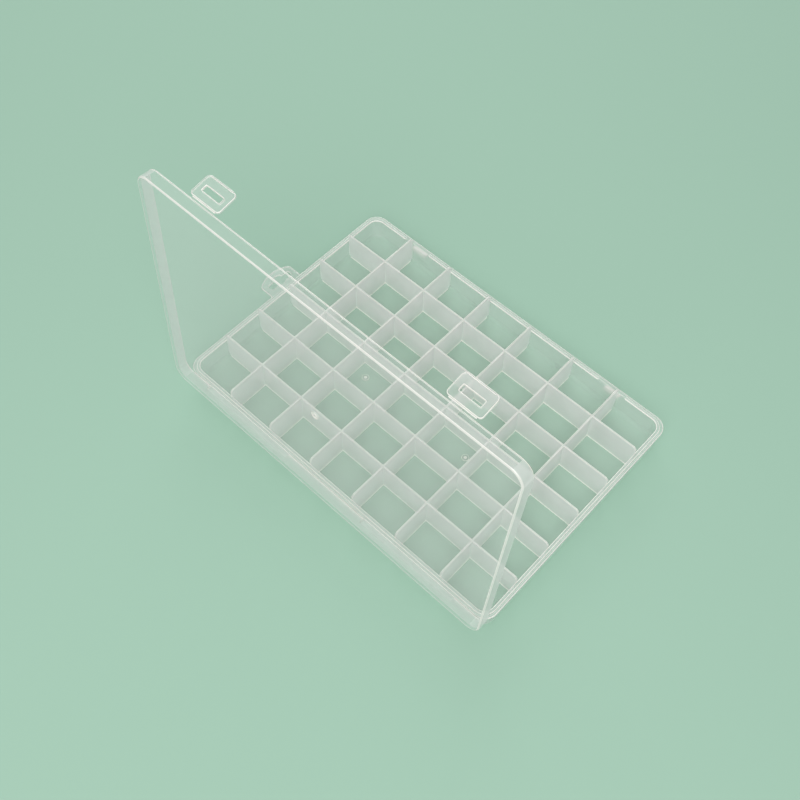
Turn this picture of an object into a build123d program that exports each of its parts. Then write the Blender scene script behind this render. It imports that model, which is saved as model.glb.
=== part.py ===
from build123d import *
import os
from math import cos, radians, sin

os.makedirs("parts", exist_ok=True)

# Compartment grid: columns counted along X, rows along Y.
columns = 7
rows = 6
pitch_x = 27.0
pitch_y = 21.8
divider_thickness = 1.2
divider_height = 17.0
divider_end_chamfer = 1.2

# Tray shell. The walls stop below the divider tops and carry an outward shelf and a low lip.
rim_overhang = 2.0
floor_thickness = 1.2
wall_thickness = 1.7
shelf_width = 1.4
shelf_thickness = 1.2
shelf_drop = 5.0
lip_height = 0.4
outer_corner_radius = 7.0
wall_corner_radius = 6.6
inner_corner_radius = 4.9
bottom_edge_radius = 1.0

# Hang tab on the +X end, level with the shelf.
tab_width = 20.0
tab_side_reach = 8.3
tab_middle_reach = 11.5
tab_corner_radius = 2.0
slot_length = 14.4
slot_near_edge = 2.9
slot_width = 3.5
slot_corner_radius = 1.2
hump_radius = 3.2
hump_reach = 8.4

# Lid: a shallow cap that stands on the shelf and encloses the divider tops.
panel_thickness = 1.0
skirt_thickness = 1.1
skirt_corner_radius = 4.4
panel_edge_radius = 0.8
skirt_gap = 0.25
panel_gap = 0.3

# Living hinge along the rear edge, in two strips.
hinge_offset = 0.3
film_thickness = 0.4
film_width = 2.35
film_gap = 0.3
film_inner_end = 24.0
film_end_inset = 18.0
open_angle = 86.0

# Latches on the front skirt and the wedges they close over.
latch_end_inset = 32.5
latch_width = 16.0
latch_length = 11.2
latch_thickness = 1.2
latch_root_width = 12.5
latch_root_start = 0.2
latch_root_length = 0.6
latch_root_thickness = 0.5
latch_corner_radius = 2.0
latch_flare = 15.0
latch_offset = 0.4
finger_edge_width = 0.8
finger_edge_height = 0.5
window_start = 4.2
window_height = 2.6
window_side_gap = 0.3
window_end_gap = 0.3
lip_break = 17.5
catch_width = 9.0
catch_bite = 0.7
catch_top_depth = 1.2

# Heights and half sizes that follow from the sizes above.
tray_length = columns * pitch_x + 2 * rim_overhang
tray_width = rows * pitch_y + 2 * rim_overhang
divider_top = floor_thickness + divider_height
shelf_top = divider_top - shelf_drop
lip_top = shelf_top + lip_height
wall_length = tray_length - 2 * shelf_width
wall_width = tray_width - 2 * shelf_width
inner_length = wall_length - 2 * wall_thickness
inner_width = wall_width - 2 * wall_thickness
straight_length = tray_length - 2 * outer_corner_radius
straight_width = tray_width - 2 * outer_corner_radius
latch_x = tray_length / 2 - latch_end_inset
film_outer_end = tray_length / 2 - film_end_inset
film_length = film_outer_end - film_inner_end
film_middle = (film_outer_end + film_inner_end) / 2
clear_size = 2 * tray_length

# Lid frame: origin on the hinge line, X along it, Z square to the panel.
hinge_y = tray_width / 2 + hinge_offset
hinge_z = shelf_top
panel_bottom = divider_top + panel_gap - hinge_z
lid_middle_y = -hinge_offset - tray_width / 2
lid_front_y = -hinge_offset - tray_width
skirt_height = panel_bottom - skirt_gap
lid_plane = Plane(
    origin=(0, hinge_y, hinge_z),
    x_dir=(1, 0, 0),
    z_dir=(0, sin(radians(open_angle)), cos(radians(open_angle))),
)

# Latch frames: origin on the latch hinge line, Z square to the outer face, length along -Y.
latch_lean = radians(open_angle + latch_flare)
latch_y = lid_front_y - latch_offset
latch_z = skirt_gap
catch_reach = shelf_width + latch_offset + catch_bite
catch_foot = shelf_top + latch_z - window_start - window_height + window_end_gap
catch_crest = shelf_top + latch_z - window_start - window_end_gap


# Shared wall ring: wall, shelf and broken lip in one profile.
with BuildPart() as wall_ring:
    with BuildSketch():
        RectangleRounded(wall_length, wall_width, wall_corner_radius)
    extrude(amount=shelf_top)
    fillet(wall_ring.edges().group_by(Axis.Z)[0], radius=bottom_edge_radius)
    with BuildSketch(Plane.XY.offset(shelf_top - shelf_thickness)):
        RectangleRounded(tray_length, tray_width, outer_corner_radius)
    extrude(amount=shelf_thickness)
    with BuildSketch(Plane.XY.offset(shelf_top)):
        RectangleRounded(wall_length, wall_width, wall_corner_radius)
        with Locations((-latch_x, -wall_width / 2), (latch_x, -wall_width / 2)):
            Rectangle(lip_break, 2 * wall_thickness, mode=Mode.SUBTRACT)
    extrude(amount=lip_height)
    with BuildSketch():
        RectangleRounded(inner_length, inner_width, inner_corner_radius)
    extrude(amount=lip_top, mode=Mode.SUBTRACT)

# Shared lid skirt ring, with the rear edge cut back where the hinge strips sit.
with BuildPart() as skirt_ring:
    with BuildSketch(lid_plane.offset(skirt_gap)):
        with Locations((0, lid_middle_y)):
            RectangleRounded(tray_length, tray_width, outer_corner_radius)
            RectangleRounded(
                tray_length - 2 * skirt_thickness,
                tray_width - 2 * skirt_thickness,
                skirt_corner_radius,
                mode=Mode.SUBTRACT,
            )
    extrude(amount=skirt_height)
    with BuildSketch(lid_plane.offset(skirt_gap)):
        with Locations((-film_middle, -hinge_offset), (film_middle, -hinge_offset)):
            Rectangle(film_length, 4 * skirt_thickness)
    extrude(amount=film_gap + film_width - skirt_gap, mode=Mode.SUBTRACT)

with BuildPart() as tray_floor:
    with BuildSketch():
        RectangleRounded(inner_length, inner_width, inner_corner_radius)
    extrude(amount=floor_thickness)
tray_floor.part.label = "tray_floor"
export_step(tray_floor.part, "parts/tray_floor.step")

with BuildPart() as front_wall:
    add(wall_ring.part)
    with Locations((0, -tray_width / 2, 0)):
        Box(straight_length, 2 * outer_corner_radius, clear_size, mode=Mode.INTERSECT)
front_wall.part.label = "front_wall"
export_step(front_wall.part, "parts/front_wall.step")

with BuildPart() as rear_wall:
    add(wall_ring.part)
    with Locations((0, tray_width / 2, 0)):
        Box(straight_length, 2 * outer_corner_radius, clear_size, mode=Mode.INTERSECT)
rear_wall.part.label = "rear_wall"
export_step(rear_wall.part, "parts/rear_wall.step")

with BuildPart() as left_wall:
    add(wall_ring.part)
    with Locations((-tray_length / 2, 0, 0)):
        Box(2 * outer_corner_radius, straight_width, clear_size, mode=Mode.INTERSECT)
left_wall.part.label = "left_wall"
export_step(left_wall.part, "parts/left_wall.step")

with BuildPart() as right_wall:
    add(wall_ring.part)
    with Locations((tray_length / 2, 0, 0)):
        Box(2 * outer_corner_radius, straight_width, clear_size, mode=Mode.INTERSECT)
right_wall.part.label = "right_wall"
export_step(right_wall.part, "parts/right_wall.step")

with BuildPart() as corner_walls:
    add(wall_ring.part)
    Box(straight_length, clear_size, clear_size, mode=Mode.SUBTRACT)
    Box(clear_size, straight_width, clear_size, mode=Mode.SUBTRACT)
corner_walls.part.label = "corner_walls"
export_step(corner_walls.part, "parts/corner_walls.step")

# Long dividers run the whole inside length; their top corners are cut back at both walls.
for row in range(1, rows):
    with BuildPart() as long_divider:
        with BuildSketch(Plane.XY.offset(floor_thickness)):
            with Locations((0, (row - rows / 2) * pitch_y)):
                Rectangle(inner_length, divider_thickness)
        extrude(amount=divider_height)
        crest = long_divider.edges().group_by(Axis.Z)[-1].filter_by(Axis.Y)
        chamfer(crest, length=divider_end_chamfer)
    long_divider.part.label = f"long_divider_{row}"
    export_step(long_divider.part, f"parts/long_divider_{row}.step")

# Cross dividers fill the spaces between the long dividers and the front and rear walls.
for column in range(1, columns):
    with BuildPart() as cross_divider:
        with BuildSketch(Plane.XY.offset(floor_thickness)):
            with Locations(((column - columns / 2) * pitch_x, 0)):
                Rectangle(divider_thickness, inner_width)
        extrude(amount=divider_height)
        crest = cross_divider.edges().group_by(Axis.Z)[-1].filter_by(Axis.X)
        chamfer(crest, length=divider_end_chamfer)
        with BuildSketch(Plane.XY.offset(floor_thickness)):
            with GridLocations(1, pitch_y, 1, rows - 1):
                Rectangle(clear_size, divider_thickness)
        extrude(amount=divider_height, mode=Mode.SUBTRACT)
    cross_divider.part.label = f"cross_divider_{column}"
    export_step(cross_divider.part, f"parts/cross_divider_{column}.step")

with BuildPart() as hang_tab:
    with BuildSketch(Plane.XY.offset(shelf_top - shelf_thickness)) as tab_outline:
        with BuildLine(Plane.XY.offset(shelf_top - shelf_thickness)):
            Polyline(
                (tray_length / 2 + tab_side_reach, tab_width / 2),
                (tray_length / 2, tab_width / 2),
                (tray_length / 2, -tab_width / 2),
                (tray_length / 2 + tab_side_reach, -tab_width / 2),
            )
            ThreePointArc(
                (tray_length / 2 + tab_side_reach, -tab_width / 2),
                (tray_length / 2 + tab_middle_reach, 0),
                (tray_length / 2 + tab_side_reach, tab_width / 2),
            )
        make_face()
        fillet(tab_outline.vertices().group_by(Axis.X)[-1], radius=tab_corner_radius)
        with Locations((tray_length / 2 + slot_near_edge + slot_width / 2, 0)):
            RectangleRounded(slot_width, slot_length, slot_corner_radius, mode=Mode.SUBTRACT)
        with Locations((tray_length / 2 + hump_reach - hump_radius, 0)):
            Circle(hump_radius, mode=Mode.SUBTRACT)
    extrude(amount=shelf_thickness)
hang_tab.part.label = "hang_tab"
export_step(hang_tab.part, "parts/hang_tab.step")

# Each catch is a wedge on the outside of the front wall: square underneath, sloped on top.
for name, centre_x in (("catch_left", -latch_x), ("catch_right", latch_x)):
    with BuildPart() as catch:
        with BuildSketch(Plane.YZ.offset(centre_x)):
            with BuildLine():
                Polyline(
                    (-wall_width / 2, catch_foot),
                    (-wall_width / 2 - catch_reach, catch_foot),
                    (-wall_width / 2 - catch_reach, catch_crest - catch_top_depth),
                    (-wall_width / 2, catch_crest),
                    close=True,
                )
            make_face()
        extrude(amount=catch_width / 2, both=True)
    catch.part.label = name
    export_step(catch.part, f"parts/{name}.step")

with BuildPart() as lid_panel:
    with BuildSketch(lid_plane.offset(panel_bottom)):
        with Locations((0, lid_middle_y)):
            RectangleRounded(tray_length, tray_width, outer_corner_radius)
    extrude(amount=panel_thickness)
    outer_face = lid_panel.faces().sort_by(Axis(lid_plane.origin, lid_plane.z_dir))[-1]
    fillet(outer_face.edges(), radius=panel_edge_radius)
lid_panel.part.label = "lid_panel"
export_step(lid_panel.part, "parts/lid_panel.step")

with BuildPart() as lid_front_skirt:
    add(skirt_ring.part)
    with Locations(lid_plane.location * Location((0, lid_front_y, 0))):
        Box(straight_length, 2 * outer_corner_radius, clear_size, mode=Mode.INTERSECT)
lid_front_skirt.part.label = "lid_front_skirt"
export_step(lid_front_skirt.part, "parts/lid_front_skirt.step")

with BuildPart() as lid_rear_skirt:
    add(skirt_ring.part)
    with Locations(lid_plane.location * Location((0, -hinge_offset, 0))):
        Box(straight_length, 2 * outer_corner_radius, clear_size, mode=Mode.INTERSECT)
lid_rear_skirt.part.label = "lid_rear_skirt"
export_step(lid_rear_skirt.part, "parts/lid_rear_skirt.step")

with BuildPart() as lid_left_skirt:
    add(skirt_ring.part)
    with Locations(lid_plane.location * Location((-tray_length / 2, lid_middle_y, 0))):
        Box(2 * outer_corner_radius, straight_width, clear_size, mode=Mode.INTERSECT)
lid_left_skirt.part.label = "lid_left_skirt"
export_step(lid_left_skirt.part, "parts/lid_left_skirt.step")

with BuildPart() as lid_right_skirt:
    add(skirt_ring.part)
    with Locations(lid_plane.location * Location((tray_length / 2, lid_middle_y, 0))):
        Box(2 * outer_corner_radius, straight_width, clear_size, mode=Mode.INTERSECT)
lid_right_skirt.part.label = "lid_right_skirt"
export_step(lid_right_skirt.part, "parts/lid_right_skirt.step")

with BuildPart() as lid_corner_skirts:
    add(skirt_ring.part)
    with Locations(lid_plane.location * Location((0, lid_middle_y, 0))):
        Box(straight_length, clear_size, clear_size, mode=Mode.SUBTRACT)
        Box(clear_size, straight_width, clear_size, mode=Mode.SUBTRACT)
lid_corner_skirts.part.label = "lid_corner_skirts"
export_step(lid_corner_skirts.part, "parts/lid_corner_skirts.step")

# Hinge strips lie flush with the outer face of the rear skirt and fill its cut-back edge.
for name, side in (("hinge_film_left", -1), ("hinge_film_right", 1)):
    with BuildPart() as hinge_film:
        with BuildSketch(lid_plane.offset(film_gap)):
            with Locations((side * film_middle, -hinge_offset - film_thickness / 2)):
                Rectangle(film_length, film_thickness)
        extrude(amount=film_width)
    hinge_film.part.label = name
    export_step(hinge_film.part, f"parts/{name}.step")

# Latch: thin root along the hinge line, then a plate with a window and a raised finger edge.
for name, centre_x in (("latch_left", -latch_x), ("latch_right", latch_x)):
    latch_plane = Plane(
        origin=lid_plane.from_local_coords((centre_x, latch_y, latch_z)),
        x_dir=(1, 0, 0),
        z_dir=(0, -cos(latch_lean), sin(latch_lean)),
    )
    plate_start = latch_root_start + latch_root_length
    with BuildPart() as latch:
        with BuildSketch(latch_plane):
            with Locations((0, -(plate_start + latch_length) / 2)):
                RectangleRounded(latch_width, latch_length - plate_start, latch_corner_radius)
            with Locations((0, -window_start - window_height / 2)):
                Rectangle(catch_width + 2 * window_side_gap, window_height, mode=Mode.SUBTRACT)
        extrude(amount=latch_thickness)
        with BuildSketch(latch_plane):
            with Locations((0, -latch_root_start - latch_root_length)):
                Rectangle(latch_root_width, 2 * latch_root_length)
        extrude(amount=latch_root_thickness)
        with BuildSketch(latch_plane.offset(latch_thickness)):
            with Locations((0, -latch_length + finger_edge_width / 2)):
                Rectangle(latch_width - 2 * latch_corner_radius, finger_edge_width)
        extrude(amount=finger_edge_height)
    latch.part.label = name
    export_step(latch.part, f"parts/{name}.step")
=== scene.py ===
from math import asin, ceil, cos, pi, radians, sin, tan

import bmesh
import bpy
from mathutils import Euler, Matrix, Vector


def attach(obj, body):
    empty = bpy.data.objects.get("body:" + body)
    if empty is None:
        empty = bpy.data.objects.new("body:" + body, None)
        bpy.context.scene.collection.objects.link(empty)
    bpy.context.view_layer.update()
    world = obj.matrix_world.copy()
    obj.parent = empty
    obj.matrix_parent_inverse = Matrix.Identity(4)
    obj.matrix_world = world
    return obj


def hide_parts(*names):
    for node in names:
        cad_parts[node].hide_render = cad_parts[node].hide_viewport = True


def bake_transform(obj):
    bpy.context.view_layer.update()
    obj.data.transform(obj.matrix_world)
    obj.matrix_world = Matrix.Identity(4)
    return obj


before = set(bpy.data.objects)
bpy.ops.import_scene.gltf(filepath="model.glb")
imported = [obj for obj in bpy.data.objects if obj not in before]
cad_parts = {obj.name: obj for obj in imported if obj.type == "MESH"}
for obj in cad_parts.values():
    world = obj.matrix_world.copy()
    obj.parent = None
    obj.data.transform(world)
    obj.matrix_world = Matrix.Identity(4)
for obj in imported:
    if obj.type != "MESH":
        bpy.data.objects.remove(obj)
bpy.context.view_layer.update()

scene = bpy.context.scene
MM = 0.001

# Sizes in millimetres, the same as the CAD model's.
COLUMNS, ROWS = 7, 6
PITCH_X, PITCH_Y = 27.0, 21.8
TRAY_X, TRAY_Y = 193.0 / 2, 134.8 / 2
FLOOR, DIVIDER_TOP = 1.2, 18.2
SHELF_TOP, SHELF_BOTTOM, LIP_TOP = 13.2, 12.0, 13.6
WALL_OUT, WALL_IN = 1.4, 3.1
RIM_RADIUS, WALL_RADIUS, INNER_RADIUS = 7.0, 6.6, 4.9
WALL_Y = TRAY_Y - WALL_OUT
INNER_X, INNER_Y = TRAY_X - WALL_IN, TRAY_Y - WALL_IN
TAB_HALF, TAB_REACH, TAB_BOW = 10.0, 11.5, 3.2
SLOT_MIDDLE, SLOT_SIZE = 4.65, (1.75, 7.2, 1.2)
HUMP_MIDDLE, HUMP_RADIUS = 5.2, 3.2
CATCH_HALF, CATCH_REACH, CATCH_FOOT, CATCH_TIP, CATCH_CREST = 4.5, 2.5, 6.95, 7.75, 8.95
LIP_BREAK, LIP_HALF = 8.75, 0.85
OPEN, FLARE = radians(86.0), radians(15.0)
HINGE_GAP = 0.3
HINGE_Y, HINGE_Z = TRAY_Y + HINGE_GAP, SHELF_TOP
LID_MIDDLE = -HINGE_GAP - TRAY_Y
LID_FRONT = -HINGE_GAP - 2 * TRAY_Y
PANEL_IN, PANEL_OUT, PANEL_ROUND = 5.3, 6.3, 0.8
SKIRT_EDGE, SKIRT, SKIRT_RADIUS = 0.25, 1.1, 4.4
FILM_X0, FILM_X1, FILM_EDGE = 24.0, 78.5, 2.65
LATCH_X, LATCH_OFFSET = 64.0, 0.4
LATCH_HALF, LATCH_END, LATCH_THICK = 8.0, -11.2, 1.2
ROOT_X, FINGER_X = 6.25, 6.0
WINDOW_MIDDLE, WINDOW_X, WINDOW_Y = -5.5, 4.8, 1.3
# Sizes that only this model has, or that it sets a little differently for its rounded edges.
DIVIDER_FOOT, DIVIDER_SIDE, DIVIDER_CREST, DIVIDER_CUT = 1.33, 0.65, 0.44, 1.22
TAB_FOOT = 11.4
ROLL_HALF, ROLL_DEPTH = 7.8, 2.2
LATCH_ROOT, FINGER_MIDDLE = -0.6, -10.78
HINGE_FILM_HALF, LATCH_FILM_HALF, LATCH_FILM_X = 0.19, 0.13, 6.1
GATE_X, GATE_Y, GATE_RADIUS, LID_GATE_RADIUS, GATE_EYE = 33.2, 7.2, 1.9, 2.0, 0.8

# How tightly a face bends, in turns of a radian a millimetre, from where it starts to get a painted edge
# highlight.
EDGE_FROM, EDGE_FULL, CONCAVE_SHARE = 0.9, 1.7, 0.9
# The least painted edge highlight of faces that are always painted white, and of the hang tab's side.
CUT_HIGHLIGHT, FILLET_HIGHLIGHT, TAB_HIGHLIGHT = 0.95, 0.9, 0.7
# The shares of their bend that count towards the painted edge highlight on the lid's free side edges and
# along the inside of its panel.
SIDE_SHARE, GROOVE_SHARE = 0.5, 0.25
# A face is a side face where its normal has less than this of the plate's own direction.
SIDE_FACE = 0.9
# How milky each kind of plate is: the share of what lies behind it that it hides.
FLOOR_HAZE, DIVIDER_HAZE, WALL_HAZE, RIM_HAZE, LIP_HAZE, TAB_HAZE = 0.32, 0.78, 0.36, 0.85, 0.45, 0.36
PANEL_HAZE, SKIRT_HAZE, SIDE_HAZE, CORNER_HAZE = 0.22, 0.42, 0.58, 0.62
LATCH_HAZE, CUT_HAZE = 0.3, 0.9
HINGE_FILM_HAZE, LATCH_FILM_HAZE = 0.55, 0.2

# Steps of a rounded plate rim, the sharpest mitre that inset() follows, and a bowl's least plan radius.
RIM_STEPS, LEAST_MITRE, LEAST_PLAN = 3, 0.35, 0.3
# Points nearer than this, in metres, are one. The area, in square metres, keeps a division from failing.
WELD, PIECE_WELD = 1e-7, 2e-7
LEAST_AREA = 1e-12


def frame_at(origin, tilt):
    """Local frame with X along the hinge lines, whose Z leans from world Z towards world Y by tilt."""
    z = Vector((0, sin(tilt), cos(tilt)))
    x = Vector((1, 0, 0))
    y = z.cross(x)
    turn = Matrix((x, y, z)).transposed().to_4x4()
    return Matrix.Translation(Vector(origin)) @ turn


TRAY = Matrix.Identity(4)
LID = frame_at((0, HINGE_Y, HINGE_Z), OPEN)


def latch_frame(side):
    """Local frame of the latch on one side, with the latch along -Y and Z out of its outer face."""
    origin = LID @ Vector((side * LATCH_X, LID_FRONT - LATCH_OFFSET, SKIRT_EDGE))
    return frame_at(origin, OPEN + FLARE - pi / 2)


# ---------------------------------------------------------------- shapes


def soften(corners, closed=False, step=radians(20)):
    """A path through (u, v, radius) corners with each corner rounded. Returns (u, v, corner index)."""
    path = []
    count = len(corners)
    for i, (u, v, radius) in enumerate(corners):
        here = Vector((u, v))
        if not radius or (not closed and i in (0, count - 1)):
            path.append((u, v, i))
            continue
        back = (Vector(corners[i - 1][:2]) - here).normalized()
        on = (Vector(corners[(i + 1) % count][:2]) - here).normalized()
        turn = pi - back.angle(on)
        start = here + back * radius * tan(turn / 2)
        centre = here + (back + on).normalized() * radius / cos(turn / 2)
        sign = 1 if on.x * back.y - on.y * back.x > 0 else -1
        steps = max(2, ceil(turn / step))
        arm = start - centre
        for k in range(steps + 1):
            a = sign * turn * k / steps
            path.append((
                centre.x + arm.x * cos(a) - arm.y * sin(a),
                centre.y + arm.x * sin(a) + arm.y * cos(a),
                i,
            ))
    return path


def rounded(half_x, half_y, radius, steps=9):
    """A rounded rectangle as a closed outline."""
    points = []
    for sx, sy, first in ((1, 1, 0), (-1, 1, 90), (-1, -1, 180), (1, -1, 270)):
        for k in range(steps + 1):
            a = radians(first + 90 * k / steps)
            points.append((
                sx * (half_x - radius) + radius * cos(a),
                sy * (half_y - radius) + radius * sin(a),
            ))
    return points


def inset(outline, distance):
    """A closed counter-clockwise outline moved inwards by distance."""
    count = len(outline)
    moved = []
    for i, (u, v) in enumerate(outline):
        back = Vector((u - outline[i - 1][0], v - outline[i - 1][1])).normalized()
        nxt = outline[(i + 1) % count]
        on = Vector((nxt[0] - u, nxt[1] - v)).normalized()
        left = Vector((-back.y - on.y, back.x + on.x)).normalized()
        reach = distance / max(LEAST_MITRE, left.dot(Vector((-on.y, on.x))))
        moved.append((u + left.x * reach, v + left.y * reach))
    return moved


def disc(x, y, radius, steps=28):
    """A circle as a closed outline."""
    return [
        (x + radius * cos(2 * pi * k / steps), y + radius * sin(2 * pi * k / steps))
        for k in range(steps)
    ]


def solid(rings, place=TRAY):
    """A closed solid through rings of equal length, in millimetres."""
    count = len(rings[0])
    points = [place @ Vector(p) * MM for ring in rings for p in ring]
    faces = [tuple(range(count)), tuple(range(len(points) - count, len(points)))]
    for r in range(len(rings) - 1):
        for k in range(count):
            n = (k + 1) % count
            faces.append((r * count + k, r * count + n, (r + 1) * count + n, (r + 1) * count + k))
    mesh = bpy.data.meshes.new("solid")
    mesh.from_pydata(points, [], faces)
    work = bmesh.new()
    work.from_mesh(mesh)
    bmesh.ops.remove_doubles(work, verts=work.verts, dist=WELD)
    bmesh.ops.recalc_face_normals(work, faces=work.faces)
    work.to_mesh(mesh)
    work.free()
    shape = bpy.data.objects.new("solid", mesh)
    scene.collection.objects.link(shape)
    return shape


def bowl(corners, middle_y=0.0, place=TRAY):
    """A solid of revolution round a rounded rectangle. A corner is (inset, height, radius, plan radius)."""
    rings = []
    for u, z, i in soften([c[:3] for c in corners]):
        plan = max(LEAST_PLAN, corners[i][3] - (u - corners[i][0]))
        rings.append([
            (x, y + middle_y, z) for x, y in rounded(TRAY_X - u, TRAY_Y - u, plan)
        ])
    return solid(rings, place)


def plate(outline, low, high, edge, place=TRAY, axes=(0, 1, 2)):
    """An outline extruded from low to high with rounded rims; a negative edge flares a cutter."""
    levels = []
    for k in range(RIM_STEPS + 1):
        a = pi / 2 * k / RIM_STEPS
        levels.append((low + abs(edge) * (1 - cos(a)), edge * (1 - sin(a))))
    levels += [(low + high - z, d) for z, d in reversed(levels)]
    rings = []
    for z, d in levels:
        rings.append([
            tuple((u, v, z)[axes.index(k)] for k in range(3)) for u, v in inset(outline, d)
        ])
    return solid(rings, place)


def combine(base, tools, operation):
    """Join or cut solids exactly and keep one clean mesh."""
    for tool in tools:
        step = base.modifiers.new("combine", "BOOLEAN")
        step.operation, step.solver, step.object = operation, "EXACT", tool
    bpy.context.view_layer.update()
    graph = bpy.context.evaluated_depsgraph_get()
    mesh = bpy.data.meshes.new_from_object(base.evaluated_get(graph))
    base.modifiers.clear()
    old, base.data = base.data, mesh
    bpy.data.meshes.remove(old)
    for tool in tools:
        data = tool.data
        bpy.data.objects.remove(tool)
        bpy.data.meshes.remove(data)
    return base


def measure_edges(mesh, look):
    """Store for each face its painted edge highlight, from how tightly it bends, 0 flat to 1 an edge, and
    how milky its plastic is.

    look(centre, normal) gives a face's haze, its least painted edge highlight and the share of its bend
    that counts.
    """
    work = bmesh.new()
    work.from_mesh(mesh)
    edges, hazes = [], []
    for face in work.faces:
        bend = 0.0
        for edge in face.edges:
            if len(edge.link_faces) == 2:
                bend += edge.calc_face_angle_signed() * edge.calc_length()
        area = max(face.calc_area(), LEAST_AREA)
        bend *= MM / (2 * area)
        strength = min(1.0, max(0.0, (abs(bend) - EDGE_FROM) / (EDGE_FULL - EDGE_FROM)))
        if bend < 0:
            strength *= CONCAVE_SHARE
        haze, least, share = look(face.calc_center_median() / MM, face.normal)
        edges.append(max(strength * share, least))
        hazes.append(haze)
    work.free()
    for name, values in (("edge", edges), ("haze", hazes)):
        attribute = mesh.attributes.new(name, "FLOAT", "FACE")
        attribute.data.foreach_set("value", values)


def finish_piece(piece, name, body, nodes, look, smooth=radians(38)):
    """Clean a piece's mesh, give it its looks and name the body it rides on and the nodes it replaces."""
    mesh = piece.data
    work = bmesh.new()
    work.from_mesh(mesh)
    bmesh.ops.remove_doubles(work, verts=work.verts, dist=PIECE_WELD)
    bmesh.ops.dissolve_degenerate(work, edges=work.edges, dist=WELD)
    bmesh.ops.recalc_face_normals(work, faces=work.faces)
    work.to_mesh(mesh)
    work.free()
    piece.name = mesh.name = name
    measure_edges(mesh, look)
    mesh.shade_smooth()
    mesh.set_sharp_from_angle(angle=smooth)
    mesh.materials.clear()
    mesh.materials.append(plastic)
    normals = piece.modifiers.new("weighted normals", "WEIGHTED_NORMAL")
    normals.keep_sharp = True
    normals.weight = 100
    if body:
        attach(piece, body)
    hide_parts(*nodes)
    return piece


# ---------------------------------------------------------------- materials


class Nodes:
    """Small helper that adds nodes to one material or world and links them."""

    def __init__(self, owner):
        owner.use_nodes = True
        self.tree = owner.node_tree
        self.tree.nodes.clear()

    def add(self, kind, inputs=(), **settings):
        node = self.tree.nodes.new(kind)
        for key, value in settings.items():
            setattr(node, key, value)
        for key, value in dict(inputs).items():
            if isinstance(value, bpy.types.NodeSocket):
                self.tree.links.new(value, node.inputs[key])
            else:
                node.inputs[key].default_value = value
        return node

    def math(self, operation, a, b=0.0, c=0.0, clamp=False):
        return self.add(
            "ShaderNodeMath", {0: a, 1: b, 2: c}, operation=operation, use_clamp=clamp
        ).outputs[0]

    def noise(self, vector, scale, detail=3.0, roughness=0.5):
        return self.add(
            "ShaderNodeTexNoise",
            {"Vector": vector, "Scale": scale, "Detail": detail, "Roughness": roughness},
        ).outputs["Fac"]

    def spread(self, value, low, high, from_low=0.25, from_high=0.75):
        """A value spread over low to high. A noise hardly leaves the middle half of its range."""
        return self.add("ShaderNodeMapRange", {
            "Value": value, "From Min": from_low, "From Max": from_high,
            "To Min": low, "To Max": high,
        }).outputs["Result"]


MILKY, MILKY_LIGHT = (0.935, 0.925, 0.92, 1.0), (0.96, 0.95, 0.945, 1.0)
# Painted highlight: edges get a whiter, warmer colour and a denser veil than the milky plates. The denser
# veil is partly the plastic seen edge-on.
EDGE_HIGHLIGHT_WHITE, CLEAR = (0.98, 0.92, 0.89, 1.0), (1.0, 1.0, 1.0, 1.0)
EDGE_HAZE_AND_HIGHLIGHT, EDGE_BEHIND_HIGHLIGHT = 0.93, 0.6


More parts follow.
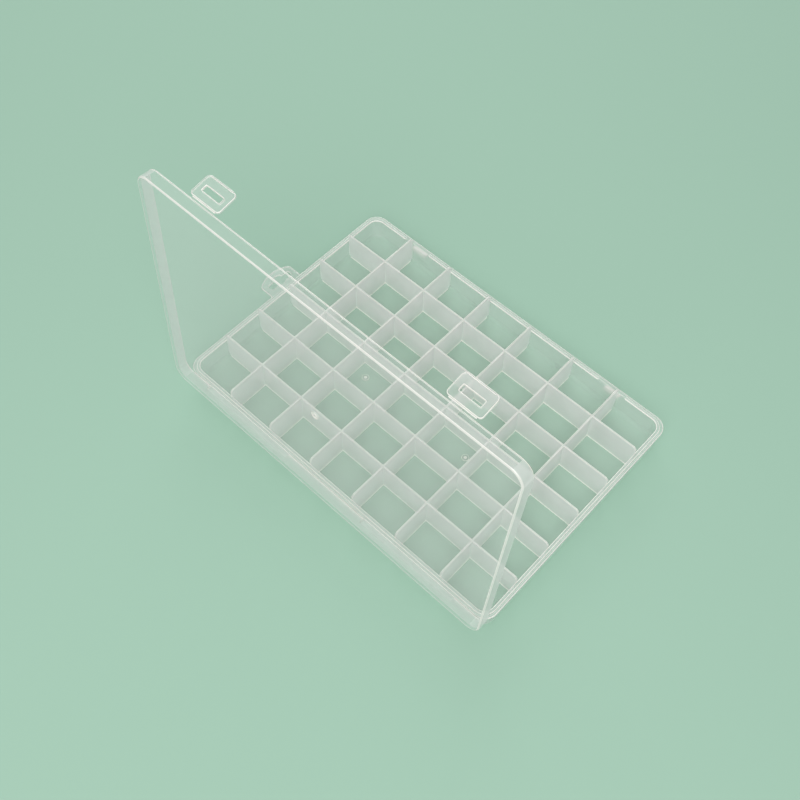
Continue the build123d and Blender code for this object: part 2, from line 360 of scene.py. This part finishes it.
def frosted(name):
    """Milky see-through polypropylene with a painted edge highlight that makes it whitest along its edges.

    A plate's veil lies on the side that is seen. Of its far side only the painted edge highlights show, a
    little weaker.
    """
    material = bpy.data.materials.new(name)
    material.use_backface_culling = True
    n = Nodes(material)
    place = n.add("ShaderNodeTexCoord").outputs["Object"]
    behind = n.add("ShaderNodeNewGeometry").outputs["Backfacing"]
    edge = n.add("ShaderNodeAttribute", attribute_name="edge").outputs["Fac"]
    haze = n.add("ShaderNodeAttribute", attribute_name="haze").outputs["Fac"]
    # Faint clouds, and streaks along the way that the plastic flowed.
    cloud = n.spread(n.noise(place, 45.0, 4.0, 0.55), 0.95, 1.05)
    streaks = n.add("ShaderNodeMapping", {"Vector": place, "Scale": (14.0, 90.0, 90.0)})
    flow = n.spread(n.noise(streaks.outputs[0], 1.0, 2.0), 0.97, 1.03)
    haze = n.math("MULTIPLY", n.math("MULTIPLY", haze, cloud), flow)
    # Along edges the veil thickens, partly for the plastic seen edge-on and partly as painted highlight.
    front = n.math("MULTIPLY_ADD", edge, n.math("SUBTRACT", EDGE_HAZE_AND_HIGHLIGHT, haze), haze)
    back = n.math("MULTIPLY", edge, EDGE_BEHIND_HIGHLIGHT)
    veil = n.math("MULTIPLY_ADD", behind, n.math("SUBTRACT", back, front), front, clamp=True)
    flat = n.add("ShaderNodeMix", data_type="RGBA", inputs={
        0: n.noise(place, 60.0, 3.0), 6: MILKY, 7: MILKY_LIGHT,
    }).outputs[2]
    # Painted highlight: the colour turns to the edge white along edges.
    colour = n.add("ShaderNodeMix", data_type="RGBA", inputs={0: edge, 6: flat, 7: EDGE_HIGHLIGHT_WHITE}).outputs[2]
    wave = n.noise(place, 90.0, 2.0)
    bump = n.add("ShaderNodeBump", {"Height": wave, "Strength": 0.2, "Distance": 0.00006})
    # Roughness stays above 0.28. Below it the denoiser treats the skin as a mirror and blotches it.
    rough = n.spread(n.noise(place, 110.0, 2.0), 0.29, 0.34)
    skin = n.add("ShaderNodeBsdfPrincipled", {
        "Base Color": colour, "Roughness": rough, "IOR": 1.9,
        "Normal": bump.outputs[0],
    })
    glow = n.add("ShaderNodeBsdfTranslucent", {"Color": colour})
    # Along edges less light passes through the plastic, so the painted edge highlight shows brighter.
    share = n.spread(edge, 0.5, 0.15, 0.0, 1.0)
    body = n.add("ShaderNodeMixShader", {0: share, 1: skin.outputs[0], 2: glow.outputs[0]})
    clear = n.add("ShaderNodeBsdfTransparent", {"Color": CLEAR})
    mix = n.add("ShaderNodeMixShader", {0: veil, 1: clear.outputs[0], 2: body.outputs[0]})
    n.add("ShaderNodeOutputMaterial", {"Surface": mix.outputs[0]})
    return material


plastic = frosted("frosted polypropylene")


# Each look tells a face's kind by its centre. The margins keep the centre clear of the limit.


def tray_look(centre, normal):
    """Haze, least painted edge highlight and share of bend of a face of the tray."""
    x, y, z = abs(centre.x), abs(centre.y), centre.z
    side_face = abs(normal.z) < SIDE_FACE
    # The hang tab's sides get a painted edge highlight.
    if centre.x > TRAY_X + 0.3:
        return TAB_HAZE, (TAB_HIGHLIGHT if side_face else 0.0), 1.0
    # The catches are painted white all over as a highlight.
    catch = y > WALL_Y + 0.1 and z < SHELF_BOTTOM - 1.0
    if catch:
        return CUT_HAZE, CUT_HIGHLIGHT, 1.0
    inside = x < INNER_X and y < INNER_Y
    underside = z < 0.1
    if z < FLOOR + 2.0 and (underside or abs(normal.z) > 0.15 and inside):
        return FLOOR_HAZE, 0.0, 1.0
    # The shelf's outer side: fillets painted white as a highlight, with a clear flat strip between them.
    if side_face and SHELF_BOTTOM < z < SHELF_TOP:
        reach = Vector((
            max(0.0, x - TRAY_X + RIM_RADIUS), max(0.0, y - TRAY_Y + RIM_RADIUS),
        )).length
        if max(x - TRAY_X, y - TRAY_Y) > -0.4 or reach > RIM_RADIUS - 0.4:
            return RIM_HAZE, (CUT_HIGHLIGHT if abs(normal.z) > 0.1 else 0.0), 1.0
    corner = x > INNER_X - 5.0 and y > INNER_Y - 5.0
    if corner or x > INNER_X - 0.3 or y > INNER_Y - 0.3:
        if LIP_TOP - 0.02 < z < LIP_TOP + 0.1:
            return LIP_HAZE, 0.0, 1.0
        return (RIM_HAZE if z > SHELF_TOP + 0.05 else WALL_HAZE), 0.0, 1.0
    return DIVIDER_HAZE, 0.0, 1.0


# ---------------------------------------------------------------- tray

shell = bowl([
    (6.0, 0.0, 0, 1.5),
    (WALL_OUT, 0.0, 1.0, WALL_RADIUS),
    (WALL_OUT, SHELF_BOTTOM, 0.35, WALL_RADIUS),
    (0.0, SHELF_BOTTOM, 0.25, RIM_RADIUS),
    (0.0, SHELF_TOP, 0.38, RIM_RADIUS),
    (WALL_OUT, SHELF_TOP, 0.04, WALL_RADIUS),
    (WALL_OUT, LIP_TOP, 0.34, WALL_RADIUS),
    (WALL_IN, LIP_TOP, 0.4, INNER_RADIUS),
    (WALL_IN, FLOOR, 2.0, INNER_RADIUS),
    (6.0, FLOOR, 0, 0.5),
])

# Section of a divider: a foot that runs into the floor, a slight taper and a rounded crest.
section = [(v, z) for v, z, _ in soften([
    (-DIVIDER_FOOT, FLOOR - 0.1, 0),
    (-DIVIDER_SIDE, FLOOR + 0.15, 0.5),
    (-DIVIDER_CREST, DIVIDER_TOP, 0.24),
    (DIVIDER_CREST, DIVIDER_TOP, 0.24),
    (DIVIDER_SIDE, FLOOR + 0.15, 0.5),
    (DIVIDER_FOOT, FLOOR - 0.1, 0),
])]


def divider(half_length, along_x, across):
    """A divider with its top corners cut back. Those across sit a hair lower, so no two faces coincide."""
    end = half_length + (0.02 if along_x else 0.025)
    sink = 0.0 if along_x else -0.02
    rings = []
    for u, drop, _ in soften([
        (-end, -DIVIDER_CUT, 0), (-end + DIVIDER_CUT, 0.0, 0.8),
        (end - DIVIDER_CUT, 0.0, 0.8), (end, -DIVIDER_CUT, 0),
    ]):
        ring = []
        for v, z in section:
            z += sink + drop * max(0.0, z - FLOOR) / (DIVIDER_TOP - FLOOR)
            ring.append((u, v + across, z) if along_x else (v + across, u, z))
        rings.append(ring)
    return solid(rings)


dividers = [divider(INNER_X, True, (r - ROWS / 2) * PITCH_Y) for r in range(1, ROWS)]
dividers += [divider(INNER_Y, False, (c - COLUMNS / 2) * PITCH_X) for c in range(1, COLUMNS)]

# The hang tab: its outline flares where it meets the rim and ends in an arc.
ARC_STEPS = 4
arc_radius = (TAB_HALF ** 2 + TAB_BOW ** 2) / (2 * TAB_BOW)
arc_middle = TRAY_X + TAB_REACH - arc_radius
arc_half = asin(TAB_HALF / arc_radius)
tab_foot = [(TRAY_X - 0.8, TAB_FOOT, 0), (TRAY_X - 0.05, TAB_FOOT, 0), (TRAY_X + 0.05, TAB_HALF, 0.9)]
tab_corners = [(u, -v, radius) for u, v, radius in tab_foot]
for k in range(-ARC_STEPS, ARC_STEPS + 1):
    a = arc_half * k / ARC_STEPS
    radius = 2.0 if abs(k) == ARC_STEPS else 0
    tab_corners.append((arc_middle + arc_radius * cos(a), arc_radius * sin(a), radius))
tab_corners += reversed(tab_foot)
tab_outline = [(u, v) for u, v, _ in soften(tab_corners, closed=True)]
tab = plate(tab_outline, SHELF_BOTTOM + 0.03, SHELF_TOP - 0.03, 0.28)
slot, hump = (
    plate(outline, SHELF_BOTTOM - 0.01, SHELF_TOP + 0.01, -0.22) for outline in (
        [(x + TRAY_X + SLOT_MIDDLE, y) for x, y in rounded(*SLOT_SIZE)],
        disc(TRAY_X + HUMP_MIDDLE, 0.0, HUMP_RADIUS, 40),
    )
)
combine(tab, [slot, hump], "DIFFERENCE")

# A catch: square underneath and sloped on top.
catch_profile = [(u, v) for u, v, _ in soften([
    (-WALL_Y + 0.5, CATCH_FOOT, 0), (-WALL_Y + 0.5, CATCH_CREST + 0.05, 0), (-WALL_Y, CATCH_CREST, 0),
    (-WALL_Y - CATCH_REACH, CATCH_TIP, 0.3), (-WALL_Y - CATCH_REACH, CATCH_FOOT, 0.25),
], closed=True)]
catches = [plate(
    catch_profile, side * LATCH_X - CATCH_HALF, side * LATCH_X + CATCH_HALF, 0.25, axes=(1, 2, 0)
) for side in (-1, 1)]

# The lip breaks off over each catch, with round ends and a rolled inner edge.
ends = []
for k in range(9):
    a = pi / 2 - pi * k / 8
    ends.append((LIP_BREAK - LIP_HALF * cos(a), -WALL_Y + LIP_HALF - LIP_HALF * sin(a)))
break_outline = [(LIP_BREAK, -WALL_Y - 0.6), *ends, (LIP_BREAK, -WALL_Y + 2.3)]
break_outline += [(-u, v) for u, v in reversed(break_outline)]
roll = [(u, v) for u, v, _ in soften([
    (-WALL_Y + 0.2, SHELF_TOP + 0.5, 0), (-WALL_Y + 0.2, SHELF_TOP, 0),
    (-INNER_Y, SHELF_TOP, 1.3), (-INNER_Y + 0.04, SHELF_TOP - ROLL_DEPTH, 0),
    (-INNER_Y + 0.6, SHELF_TOP - ROLL_DEPTH, 0), (-INNER_Y + 0.6, SHELF_TOP + 0.5, 0),
])]
cuts = []
for side in (-1, 1):
    outline = [(u + side * LATCH_X, v) for u, v in break_outline]
    cuts.append(solid([[(u, v, z) for u, v in outline] for z in (SHELF_TOP, LIP_TOP + 1.0)]))
    cuts.append(solid([
        [(side * LATCH_X + w, u, v) for u, v in roll] for w in (-ROLL_HALF, ROLL_HALF)
    ]))
combine(shell, cuts, "DIFFERENCE")
# Round marks where the plastic entered the mould.
gates = [
    plate(disc(side * GATE_X, GATE_Y, GATE_RADIUS), FLOOR - 0.3, FLOOR + 0.3, 0.25) for side in (-1, 1)
]
tray = combine(shell, dividers + [tab] + catches + gates, "UNION")
wells = [
    plate(disc(side * GATE_X, GATE_Y, GATE_EYE), FLOOR + 0.1, FLOOR + 0.5, -0.15) for side in (-1, 1)
]
combine(tray, wells, "DIFFERENCE")

finish_piece(tray, "tray_moulding", "tray", (
    "tray_floor", "front_wall", "rear_wall", "left_wall", "right_wall", "corner_walls",
    "hang_tab", "catch_left", "catch_right",
    *(f"long_divider_{r}" for r in range(1, ROWS)),
    *(f"cross_divider_{c}" for c in range(1, COLUMNS)),
), tray_look)

# ---------------------------------------------------------------- lid

lid_back = LID.inverted()
lid_turn = lid_back.to_3x3()


def lid_look(centre, normal):
    """Haze, least painted edge highlight and share of bend of a face of the lid, by its place in the lid's
    own frame.
    """
    x, y, z = lid_back @ centre
    lean = abs((lid_turn @ normal).z)
    front = y < LID_FRONT + 5.0
    skirt = PANEL_HAZE if front else SKIRT_HAZE
    # The outer fillet gets a painted white highlight.
    outer_fillet = z > PANEL_OUT - PANEL_ROUND - 0.02 and 0.25 < lean < 0.995
    if outer_fillet:
        return skirt, FILLET_HIGHLIGHT, 1.0
    inner_fillet = abs(z - PANEL_IN + 0.2) < 0.25
    if inner_fillet:
        return skirt, 0.0, GROOVE_SHARE
    corner = abs(x) > TRAY_X - 5.5 and abs(y - LID_MIDDLE) > TRAY_Y - 5.5
    if corner and lean < 0.5:
        return CORNER_HAZE, 0.0, 1.0
    if z < PANEL_IN - 0.3 or lean < 0.5:
        if abs(x) > TRAY_X - 1.3 and not front:
            return SIDE_HAZE, 0.0, SIDE_SHARE
        return skirt, 0.0, 1.0
    return PANEL_HAZE, 0.0, 1.0


lid = bowl([
    (4.0, PANEL_OUT, 0, 5.0),
    (0.0, PANEL_OUT, PANEL_ROUND, RIM_RADIUS),
    (0.0, SKIRT_EDGE, 0.45, RIM_RADIUS),
    (SKIRT, SKIRT_EDGE, 0.35, SKIRT_RADIUS),
    (SKIRT, PANEL_IN, 0.4, SKIRT_RADIUS),
    (4.0, PANEL_IN, 0, 2.0),
], LID_MIDDLE, LID)
# The rear skirt is cut back where the hinge strips sit.
film_outline = [(u, v) for u, v, _ in soften([
    (FILM_X0, -1.0, 0), (FILM_X1, -1.0, 0), (FILM_X1, FILM_EDGE, 0.35), (FILM_X0, FILM_EDGE, 0.35),
], closed=True)]
cuts = [
    solid([[(side * u, w, v) for u, v in film_outline] for w in (-2.2, 0.5)], LID) for side in (-1, 1)
]
well = plate(disc(0.0, LID_MIDDLE, LID_GATE_RADIUS), PANEL_OUT - 0.3, PANEL_OUT + 0.25, -0.2, LID)
combine(lid, cuts + [well], "DIFFERENCE")
nub = plate(disc(0.0, LID_MIDDLE, GATE_EYE), PANEL_IN + 0.4, PANEL_OUT - 0.05, 0.25, LID)
combine(lid, [nub], "UNION")
finish_piece(lid, "lid_moulding", "lid", (
    "lid_panel", "lid_front_skirt", "lid_rear_skirt", "lid_left_skirt", "lid_right_skirt",
    "lid_corner_skirts",
), lid_look)

# ---------------------------------------------------------------- flexing films

BEND_STEPS, HELD_STEPS = 8, 4
# In the lid's own frame: a hinge film's distance from the hinge line, and a latch film's height.
FILM_LEVEL, LATCH_FILM_LEVEL = -0.52, 0.62


def bridge(before, start, middle, end, after):
    """Points from before to after, curving from start to end by way of middle."""
    points = [before, start]
    for k in range(1, BEND_STEPS):
        t = k / BEND_STEPS
        points.append(start * (1 - t) ** 2 + middle * 2 * t * (1 - t) + end * t ** 2)
    points += [end.lerp(after, k / HELD_STEPS) for k in range(HELD_STEPS + 1)]
    return points


def film(name, path, reach, half_thickness, haze, replaced):
    """A thin strip across a hinge line, which bends between its two bodies along the curve of its path."""
    rings = []
    for k, point in enumerate(path):
        along = (path[min(k + 1, len(path) - 1)] - path[max(k - 1, 0)]).normalized()
        up = Vector((0, -along.z, along.y)) * half_thickness
        low, high = (point - up).yz, (point + up).yz
        rings.append([(reach[0], *low), (reach[1], *low), (reach[1], *high), (reach[0], *high)])
    strip = solid(rings)
    finish_piece(strip, name, None, replaced, lambda centre, normal: (haze, 0.0, 0.0))
    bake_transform(strip)


# A hinge film runs from just inside the tray's rim to the cut in the rear skirt, and a latch film from the
# front skirt's edge into the latch's root.
for name, side in (("left", -1), ("right", 1)):
    path = bridge(
        Vector((0, TRAY_Y - 0.35, SHELF_TOP - 0.3)),
        Vector((0, TRAY_Y - 0.1, SHELF_TOP - 0.28)),
        Vector((0, TRAY_Y + 0.2, SHELF_TOP - 0.1)),
        LID @ Vector((0, FILM_LEVEL, 0.3)),
        LID @ Vector((0, FILM_LEVEL, FILM_EDGE + 0.02)),
    )
    film(
        f"hinge_film_{name}_strip", path,
        (side * (FILM_X0 + 0.02), side * (FILM_X1 - 0.02)), HINGE_FILM_HALF,
        HINGE_FILM_HAZE, (f"hinge_film_{name}",),
    )
    place = latch_frame(side)
    near = place @ Vector((0, -0.22, 0.23))
    far = place @ Vector((0, -0.5, 0.23))
    near.x = far.x = 0
    path = bridge(
        LID @ Vector((0, LID_FRONT + 0.35, LATCH_FILM_LEVEL)),
        LID @ Vector((0, LID_FRONT + 0.02, LATCH_FILM_LEVEL)),
        LID @ Vector((0, LID_FRONT - 0.3, 0.55)),
        near, far,
    )
    film(
        f"latch_film_{name}", path,
        (side * LATCH_X - LATCH_FILM_X, side * LATCH_X + LATCH_FILM_X), LATCH_FILM_HALF,
        LATCH_FILM_HAZE, (),
    )

# ---------------------------------------------------------------- latches

for name, side in (("left", -1), ("right", 1)):
    place = latch_frame(side)
    outline = [(u, v) for u, v, _ in soften([
        (-LATCH_HALF, LATCH_END, 2.0), (LATCH_HALF, LATCH_END, 2.0),
        (LATCH_HALF, LATCH_ROOT, 1.6), (-LATCH_HALF, LATCH_ROOT, 1.6),
    ], closed=True)]
    latch = plate(outline, 0.0, LATCH_THICK, 0.32, place)
    ridge = plate(
        [(u, v + FINGER_MIDDLE) for u, v in rounded(FINGER_X, 0.4, 0.35, 4)], 0.6, 1.66, 0.2, place
    )
    root = plate(
        [(-ROOT_X, -1.4), (ROOT_X, -1.4), (ROOT_X, -0.2), (-ROOT_X, -0.2)], 0.04, 0.42, 0.08, place
    )
    combine(latch, [root, ridge], "UNION")
    window = plate(
        [(u, v + WINDOW_MIDDLE) for u, v in rounded(WINDOW_X, WINDOW_Y, 0.25, 3)],
        -0.01, LATCH_THICK + 0.01, -0.34, place
    )
    combine(latch, [window], "DIFFERENCE")
    back = place.inverted()
    turn = back.to_3x3()

    def latch_look(centre, normal):
        """Painted white highlight on the window sides and finger edge of a milky plate."""
        u, v, _ = back @ centre
        side_face = abs((turn @ normal).z) < SIDE_FACE
        window = abs(v - WINDOW_MIDDLE) < WINDOW_Y + 0.3 and abs(u) < WINDOW_X + 0.4
        if side_face and (window or v < LATCH_END + 0.3):
            return CUT_HAZE, CUT_HIGHLIGHT, 1.0
        return LATCH_HAZE, 0.0, 1.0

    finish_piece(latch, f"latch_{name}_plate", f"latch_{name}", (f"latch_{name}",), latch_look)

# ---------------------------------------------------------------- stage, light, camera

BACKDROP = (0.345, 0.538, 0.424, 1.0)
FLOOR_COLOUR = (0.355, 0.552, 0.435, 1.0)
FLOOR_SHADE = 0.985
FLOOR_HALF, FLOOR_LEVEL = 6.0, -0.0002
# How far from the object, in metres, the floor starts and ends turning into the backdrop.
FADE_FROM, FADE_TO = 0.3, 1.1
SKY, SKY_STRENGTH = (0.84, 0.84, 0.84, 1.0), 0.44


def seen_directly(n):
    """One for rays from the eye, a reflection or clear plastic, nothing for those that carry soft light."""
    ray = n.add("ShaderNodeLightPath").outputs
    seen = n.math("MAXIMUM", ray["Is Glossy Ray"], ray["Is Transmission Ray"])
    seen = n.math("SUBTRACT", seen, ray["Is Diffuse Ray"], clamp=True)
    return n.math("MAXIMUM", seen, ray["Is Camera Ray"])


def ground(name):
    """Matt floor that turns into the plain backdrop away from the object."""
    material = bpy.data.materials.new(name)
    n = Nodes(material)
    place = n.add("ShaderNodeTexCoord").outputs["Object"]
    darker = tuple(c * FLOOR_SHADE for c in FLOOR_COLOUR[:3]) + (1.0,)
    shade = n.add("ShaderNodeMix", data_type="RGBA", inputs={
        0: n.noise(place, 3.0, 3.0), 6: darker, 7: FLOOR_COLOUR,
    }).outputs[2]
    skin = n.add("ShaderNodeBsdfPrincipled", {"Base Color": shade, "Roughness": 0.9})
    away = n.add("ShaderNodeVectorMath", {0: place}, operation="LENGTH").outputs["Value"]
    fade = n.add("ShaderNodeMapRange", {
        "Value": away, "From Min": FADE_FROM, "From Max": FADE_TO, "To Min": 0.0, "To Max": 1.0,
    }, interpolation_type="SMOOTHSTEP").outputs["Result"]
    plain = n.add("ShaderNodeEmission", {"Color": BACKDROP})
    mix = n.add("ShaderNodeMixShader", {
        0: n.math("MULTIPLY", fade, seen_directly(n)), 1: skin.outputs[0], 2: plain.outputs[0],
    })
    n.add("ShaderNodeOutputMaterial", {"Surface": mix.outputs[0]})
    return material


mesh = bpy.data.meshes.new("floor")
corners = [(x * FLOOR_HALF, y * FLOOR_HALF, 0) for x, y in ((-1, -1), (1, -1), (1, 1), (-1, 1))]
mesh.from_pydata(corners, [], [(0, 1, 2, 3)])
floor = bpy.data.objects.new("floor", mesh)
scene.collection.objects.link(floor)
floor.location.z = FLOOR_LEVEL
mesh.materials.append(ground("pale floor"))


def lamp(name, place, target, size, power):
    """A plain white area lamp at place, turned towards target."""
    data = bpy.data.lights.new(name, "AREA")
    data.shape, data.size, data.size_y = "RECTANGLE", *size
    data.energy = power
    item = bpy.data.objects.new(name, data)
    item.location = place
    item.rotation_euler = (Vector(target) - Vector(place)).to_track_quat("-Z", "Y").to_euler()
    scene.collection.objects.link(item)


# Places and sizes in metres, power in watts.
lamp("key", (-0.5, 0.8, 1.15), (0, 0, 0.03), (1.1, 0.9), 14.2)
lamp("top", (0.3, -0.2, 1.45), (0, 0, 0), (1.0, 1.0), 3.6)
lamp("rim", (0.9, -0.9, 0.6), (0, 0, 0.05), (0.9, 0.6), 5.0)

world = bpy.data.worlds.new("studio")
scene.world = world
sky = Nodes(world)
light = sky.add("ShaderNodeBackground", {"Color": SKY, "Strength": SKY_STRENGTH})
plain = sky.add("ShaderNodeBackground", {"Color": BACKDROP, "Strength": 1.0})
mix = sky.add("ShaderNodeMixShader", {0: seen_directly(sky), 1: light.outputs[0], 2: plain.outputs[0]})
sky.add("ShaderNodeOutputWorld", {"Surface": mix.outputs[0]})

# Lens, place and turn were fitted to the corners of the grid, the rim and the lid in the photograph.
camera_data = bpy.data.cameras.new("camera")
camera = bpy.data.objects.new("camera", camera_data)
scene.collection.objects.link(camera)
camera_data.lens, camera_data.sensor_width = 46.997, 36.0
camera.location = (-0.16544, 0.20203, 0.44687)
camera.rotation_euler = Euler((radians(30.724), radians(-0.534), radians(-137.158)), "XYZ")
scene.camera = camera

scene.view_settings.view_transform = "Standard"
# A ray passes many thin see-through walls, and the milky ones pass light on to one another.
scene.cycles.transparent_max_bounces = 64
scene.cycles.max_bounces = 16
scene.cycles.diffuse_bounces = 12
